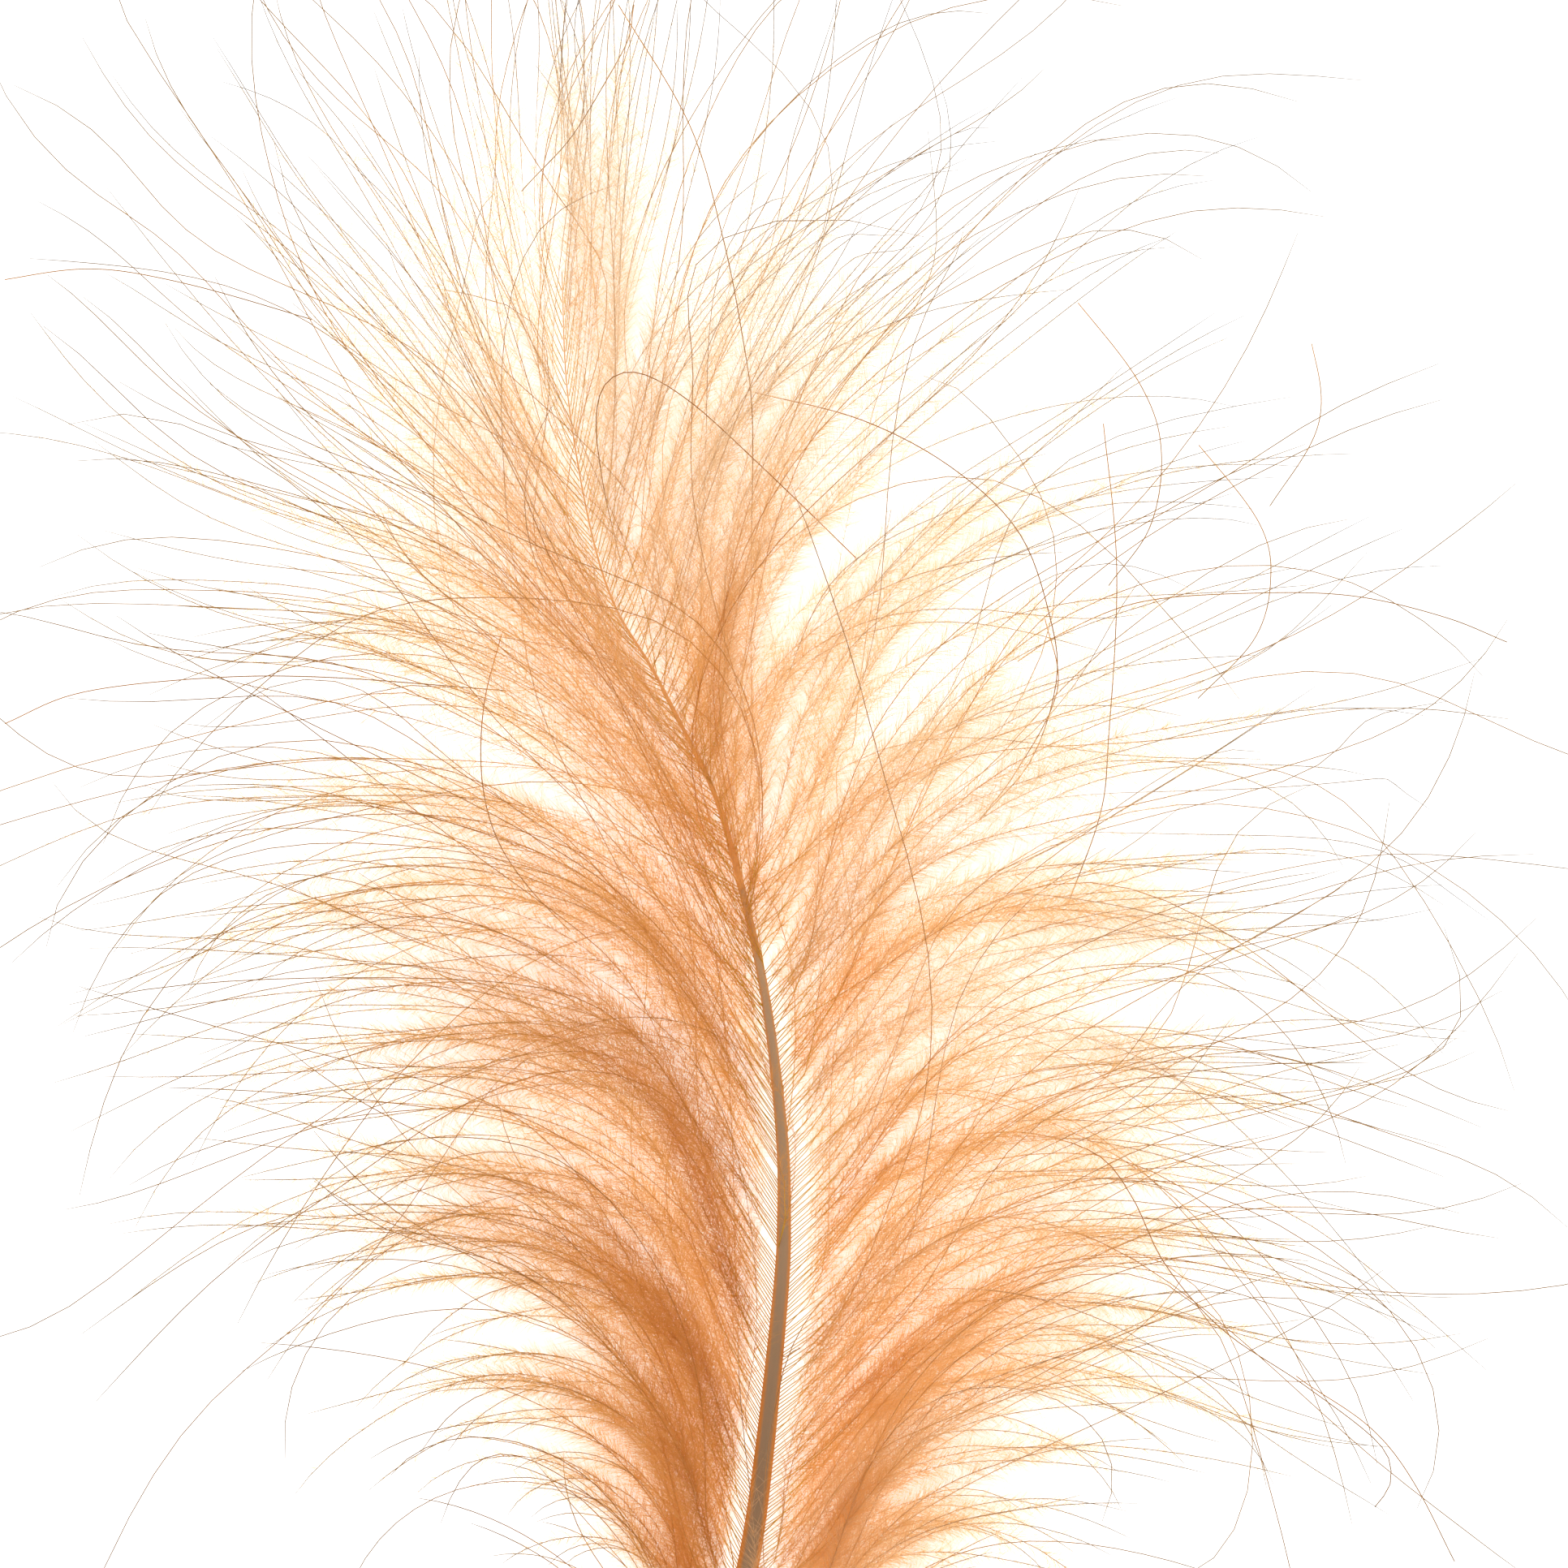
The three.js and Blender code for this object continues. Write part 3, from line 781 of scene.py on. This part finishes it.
def grow_barbules(barbs):
    """Single triangles, wide at the barb and pointed at their ends, with their map and places."""
    which, share, from_bare = place_barbules(barbs)
    count = len(which)
    root = on_path(barbs["paths"], which, share)
    way = on_path(barbs["directions"], which, share)
    way /= np.linalg.norm(way, axis=1, keepdims=True)
    across, over = across_and_over(way)
    lean = np.radians(rng.normal(*BARBULE_ANGLE, count))[:, None]
    roll = np.radians(rng.normal(0, ROLL_SCATTER, count))[:, None]
    hand = rng.choice([-1.0, 1.0], count)[:, None]
    out = way * np.cos(lean) + hand * (across * np.cos(roll) + over * np.sin(roll)) * np.sin(lean)
    reach = read_off(BARBULE_LENGTH, from_bare) * read_off(BARBULE_REACH, share)
    reach = reach * rng.uniform(*BARBULE_SPREAD, count)
    turn = np.radians(rng.normal(0, FACE_SCATTER, count))[:, None]
    square_across, square_over = across_and_over(out)
    wide = (square_across * np.cos(turn) + square_over * np.sin(turn)) * BARBULE_WIDTH / 2
    corners = np.stack([root - wide, root + wide, root + out * reach[:, None]], 1)
    corners[..., 2] = np.clip(corners[..., 2], LOWEST_FIBRE, HIGHEST_FIBRE)
    own_tone = rng.normal(0, BARBULE_TONE_SCATTER, count)
    tone = np.clip(barbs["tones"][which] + own_tone, TONE_LOW, TONE_HIGH)
    u = np.clip(share, 0, LAST_BARBULE_SHARE)[:, None] + [0, BARBULE_MAP_WIDTH, BARBULE_MAP_WIDTH / 2]
    v = tone[:, None] + [0, 0, BARBULE_MAP_HEIGHT]
    return corners, np.stack([u, v], -1), barbs["at"][which]


# Materials

def ramp(nodes, links, factor, stops):
    """A colour ramp on a value."""
    node = nodes.new("ShaderNodeValToRGB")
    links.new(factor, node.inputs[0])
    elements = node.color_ramp.elements
    while len(elements) > 1:
        elements.remove(elements[-1])
    elements[0].position = stops[0][0]
    elements[0].color = (*stops[0][1], 1)
    for place, colour in stops[1:]:
        elements.new(place).color = (*colour, 1)
    return node.outputs["Color"]


def new_material(name):
    """An empty material: itself, its nodes and its links."""
    material = bpy.data.materials.new(name)
    material.use_nodes = True
    nodes, links = material.node_tree.nodes, material.node_tree.links
    nodes.clear()
    return material, nodes, links


def thin_shader(nodes, links, colour, thin):
    """Light of this colour passes through for the thin part, and the rest is thrown back."""
    through = nodes.new("ShaderNodeBsdfTranslucent")
    back = nodes.new("ShaderNodeBsdfDiffuse")
    mix = nodes.new("ShaderNodeMixShader")
    out = nodes.new("ShaderNodeOutputMaterial")
    links.new(colour, through.inputs["Color"])
    links.new(colour, back.inputs["Color"])
    mix.inputs[0].default_value = 1 - thin
    links.new(through.outputs[0], mix.inputs[1])
    links.new(back.outputs[0], mix.inputs[2])
    links.new(mix.outputs[0], out.inputs["Surface"])


def fibre_material(name, tones, along, thin, other=None, other_share=None):
    """Keratin fibres: a tone by V, changed along U, and another colour over a part of their length."""
    material, nodes, links = new_material(name)
    uv = nodes.new("ShaderNodeUVMap")
    uv.uv_map = "OFBake"
    split = nodes.new("ShaderNodeSeparateXYZ")
    links.new(uv.outputs["UV"], split.inputs[0])
    tone = ramp(nodes, links, split.outputs["Y"], tones)
    if other:
        blend = nodes.new("ShaderNodeMix")
        blend.data_type = "RGBA"
        links.new(ramp(nodes, links, split.outputs["X"], other_share), blend.inputs["Factor"])
        links.new(tone, blend.inputs["A"])
        blend.inputs["B"].default_value = (*other, 1)
        tone = blend.outputs["Result"]
    both = nodes.new("ShaderNodeMix")
    both.data_type = "RGBA"
    both.blend_type = "MULTIPLY"
    both.inputs["Factor"].default_value = 1
    links.new(tone, both.inputs["A"])
    links.new(ramp(nodes, links, split.outputs["X"], along), both.inputs["B"])
    thin_shader(nodes, links, both.outputs["Result"], thin)
    return material


def down_material():
    """The barbules."""
    return fibre_material("down", TONES, DOWN_ALONG, THIN_DOWN)


def barb_material():
    """The barbs, with glowing roots and grey-brown tips."""
    return fibre_material("barb", TONES, BARB_ALONG, THIN_BARB, ROOT_COLOUR, ROOT_COLOUR_SHARE)


def quill_material():
    """The lower shaft: painted shade makes it grey-brown on top, and a painted backlight glow makes its
    flanks orange.
    """
    return fibre_material("quill", QUILL_GLOW_AND_SHADE, QUILL_ALONG, THIN_QUILL, UPPER_SHAFT, UPPER_SHARE)


def shaft_tip_material():
    """The upper shaft, thin enough for light to shine through; at its lower end the painted glow and shade of
    the quill fade out.
    """
    return fibre_material("shaft_tip", QUILL_GLOW_AND_SHADE, QUILL_ALONG, THIN_SHAFT_TIP, UPPER_SHAFT, UPPER_SHARE)


def glowing_material(name, colour, glow):
    """A matt surface that gives off light of its own colour."""
    material, nodes, links = new_material(name)
    matt = nodes.new("ShaderNodeBsdfDiffuse")
    matt.inputs["Color"].default_value = (*colour, 1)
    lamp = nodes.new("ShaderNodeEmission")
    lamp.inputs["Color"].default_value = (*colour, 1)
    lamp.inputs["Strength"].default_value = glow
    both = nodes.new("ShaderNodeAddShader")
    out = nodes.new("ShaderNodeOutputMaterial")
    links.new(matt.outputs[0], both.inputs[0])
    links.new(lamp.outputs[0], both.inputs[1])
    links.new(both.outputs[0], out.inputs["Surface"])
    material.cycles.emission_sampling = "NONE"
    return material


# Pieces

def add_piece(name, points, triangles, uv, material):
    """One mesh piece in the frame, riding on the frame's own body."""
    mesh = bpy.data.meshes.new(name)
    mesh.vertices.add(len(points))
    mesh.vertices.foreach_set("co", ((points + TO_FRAME) * METRE).astype(np.float32).ravel())
    mesh.loops.add(triangles.size)
    mesh.loops.foreach_set("vertex_index", triangles.astype(np.int32).ravel())
    mesh.polygons.add(len(triangles))
    mesh.polygons.foreach_set("loop_start", np.arange(0, triangles.size, 3, dtype=np.int32))
    layer = mesh.uv_layers.new(name="OFBake")
    layer.data.foreach_set("uv", np.clip(uv, 0, 1).astype(np.float32).ravel())
    mesh.materials.append(material)
    mesh.update(calc_edges=True)
    mesh.validate()
    piece = bpy.data.objects.new(name, mesh)
    bpy.context.collection.objects.link(piece)
    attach(piece, "root")
    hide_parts("feather")


def side_name(barbs):
    """The side of the barbs, as the names of their pieces have it."""
    return "left" if barbs["side"] == LEFT else "right"


def add_barbs(barbs, material):
    """The barbs of one side, as one piece of tubes."""
    paths = barbs["paths"][:, ::TUBE_STRIDE]
    along = np.broadcast_to(SHARES[::TUBE_STRIDE], paths.shape[:2])
    thick = np.where(barbs["fine"], FINE_THICKNESS, 1) * rng.uniform(*THICKNESS_SPREAD, len(paths))
    radii = read_off(BARB_RADIUS, along) * (1 + (thick[:, None] - 1) * read_off(FINE_FROM, along))
    tones = barbs["tones"] + np.where(barbs["fine"], FINE_BARB_TONE, COARSE_BARB_TONE)
    tones = np.clip(tones, TONE_LOW, TONE_HIGH)
    add_piece(f"barbs_{side_name(barbs)}", *tubes(paths, radii, tones, along), material)


def add_down(barbs, material):
    """The barbules of one side, as pieces that follow each other along the shaft."""
    corners, uv, at = grow_barbules(barbs)
    parts = math.ceil(len(at) / MOST_TRIANGLES)
    edges = np.quantile(at, np.linspace(0, 1, parts + 1))
    edges[-1] += 1
    for number in range(parts):
        chosen = (at >= edges[number]) & (at < edges[number + 1])
        points = corners[chosen].reshape(-1, 3)
        triangles = np.arange(len(points)).reshape(-1, 3)
        name = f"down_{side_name(barbs)}_{number + 1}"
        add_piece(name, points, triangles, uv[chosen].reshape(-1, 2), material)


def painted_glow_and_shade_level(angle):
    """The V of the map around the shaft, which places the painted glow and shade: 0 and 1 at the flanks,
    which get the painted glow, and 0.5 on top and underneath, which get the painted shade.
    """
    return 0.5 - 0.5 * np.cos(angle)


def add_shaft(name, start, end, material):
    """A stretch of the shaft, many-sided, with flat ends."""
    sides, rings = SHAFT_SIDES, SHAFT_RINGS
    at = np.linspace(start, end, rings)
    middle = shaft_point(at)
    across, over = across_and_over(directions(middle[None])[0])
    turn = 2 * np.pi * (np.arange(sides) + 0.5) / sides
    radius = (read_off(SHAFT_RADIUS, at) * read_off(SHAFT_FINER, at))[:, None, None]
    rim = across[:, None] * np.cos(turn)[:, None] + over[:, None] * np.sin(turn)[:, None]
    points = (middle[:, None] + rim * radius * SHAFT_INSIDE_SOLID).reshape(-1, 3)
    points[:, 2] = np.maximum(points[:, 2], LOWEST_SHAFT)

    ring = np.arange(rings - 1)[:, None] * sides
    here = np.arange(sides)
    beside = (here + 1) % sides
    a, b = ring + here, ring + beside
    c, d = b + sides, a + sides
    walls = np.stack([a, b, c, a, c, d], -1).reshape(-1, 3)
    along = at / SHAFT_REACH[-1]
    begin = np.broadcast_to(along[:-1, None], a.shape)
    finish = np.broadcast_to(along[1:, None], a.shape)
    # The painted glow sits at the flanks, and the painted shade sits over the top and underneath.
    near = np.broadcast_to(painted_glow_and_shade_level(turn), a.shape)
    far = np.broadcast_to(painted_glow_and_shade_level(turn + 2 * np.pi / sides), a.shape)
    u, v = wall_uv(begin, finish, near, far)

    tips = np.vstack([middle[0], middle[-1]])
    first, last = len(points), len(points) + 1
    lower_end = np.stack([np.full(sides, first), beside, here], -1)
    upper_end = np.stack([np.full(sides, last), here, beside], -1) + np.array([0, 1, 1]) * (rings - 1) * sides
    inwards = np.array(END_MAP_REACH)
    end_places = np.array([along[0] + inwards, along[-1] - inwards])
    end_u = np.repeat(end_places, sides, axis=0)
    end_v = np.tile(END_MAP_LEVELS, (2 * sides, 1))
    uv = np.stack([np.r_[u, end_u.ravel()], np.r_[v, end_v.ravel()]], -1)
    add_piece(name, np.vstack([points, tips]), np.vstack([walls, lower_end, upper_end]), uv, material)


def stray_path(line):
    """The path of a single hair that arches over the plume."""
    curve = smooth_line([(x, y, 0) for x, y in line], STRAY_STEPS)
    reach = reach_along(curve)
    even = np.linspace(0, reach[-1], WALK_STEPS + 1)
    path = np.stack([np.interp(even, reach, curve[:, k]) for k in (0, 1)], -1)
    begins, spans = STRAY_ARCH
    rise = STRAY_CREST * np.sin(np.pi * SHARES * spans + begins)
    return np.concatenate([path, np.maximum(rise, STRAY_LOWEST)[:, None]], -1)


def add_strays(material):
    """The single hairs, as one piece."""
    paths = np.array([stray_path(line) for line in STRAYS])
    begins, spans = STRAY_SHARES
    along = np.broadcast_to(begins + spans * SHARES, paths.shape[:2])
    radii = np.full(paths.shape[:2], STRAY_RADIUS)
    tones = np.linspace(*STRAY_TONES, len(paths))
    add_piece("stray_hairs", *tubes(paths, radii, tones, along), material)


def dress():
    """All pieces of the plume."""
    down, barb = down_material(), barb_material()
    for side in (LEFT, RIGHT):
        rng.bit_generator.state = np.random.default_rng(SEEDS[side]).bit_generator.state
        barbs = grow_barbs(side)
        add_barbs(barbs, barb)
        add_down(barbs, down)
    add_strays(barb)
    add_shaft("quill", 0, SHINES_FROM, quill_material())
    add_shaft("shaft_tip", SHINES_FROM, SHAFT_REACH[-1], shaft_tip_material())


# Floor, light and camera

def add_floor():
    """A pale surface that is lit from inside."""
    half = FLOOR_HALF
    corners = [(-half, -half, 0), (half, -half, 0), (half, half, 0), (-half, half, 0)]
    mesh = bpy.data.meshes.new("floor")
    mesh.from_pydata(corners, [], [(0, 1, 2, 3)])
    mesh.materials.append(glowing_material("floor", FLOOR_COLOUR, FLOOR_GLOW))
    floor = bpy.data.objects.new("floor", mesh)
    floor.location.z = -FLOOR_DROP
    bpy.context.collection.objects.link(floor)


def add_light():
    """A pale sky all around, which the camera sees as white."""
    world = bpy.data.worlds.new("studio")
    bpy.context.scene.world = world
    world.use_nodes = True
    nodes, links = world.node_tree.nodes, world.node_tree.links
    soft = nodes["Background"]
    soft.inputs["Color"].default_value = SKY_COLOUR
    soft.inputs["Strength"].default_value = SKY_STRENGTH
    seen = nodes.new("ShaderNodeBackground")
    seen.inputs["Color"].default_value = SEEN_SKY
    path = nodes.new("ShaderNodeLightPath")
    mix = nodes.new("ShaderNodeMixShader")
    links.new(path.outputs["Is Camera Ray"], mix.inputs[0])
    links.new(soft.outputs[0], mix.inputs[1])
    links.new(seen.outputs[0], mix.inputs[2])
    links.new(mix.outputs[0], nodes["World Output"].inputs["Surface"])
    world.cycles.sampling_method = "NONE"


def add_camera():
    """Straight above, looking down, as the photograph was taken."""
    data = bpy.data.cameras.new("camera")
    data.lens = LENS
    data.sensor_width = SENSOR
    data.clip_start = NEAREST_SEEN
    data.clip_end = FURTHEST_SEEN
    camera = bpy.data.objects.new("camera", data)
    bpy.context.collection.objects.link(camera)
    distance = PICTURE_WIDTH * LENS / SENSOR
    camera.location = (TO_FRAME[0] * METRE, TO_FRAME[1] * METRE, distance + PLUME_LEVEL)
    bpy.context.scene.camera = camera


def set_rendering():
    """Plain colours, and enough bounces for light to work its way through the down."""
    scene = bpy.context.scene
    scene.view_settings.view_transform = "Standard"
    scene.cycles.max_bounces = MOST_BOUNCES
    scene.cycles.diffuse_bounces = DIFFUSE_BOUNCES
    scene.cycles.transmission_bounces = MOST_BOUNCES


dress()
add_floor()
add_light()
add_camera()
set_rendering()
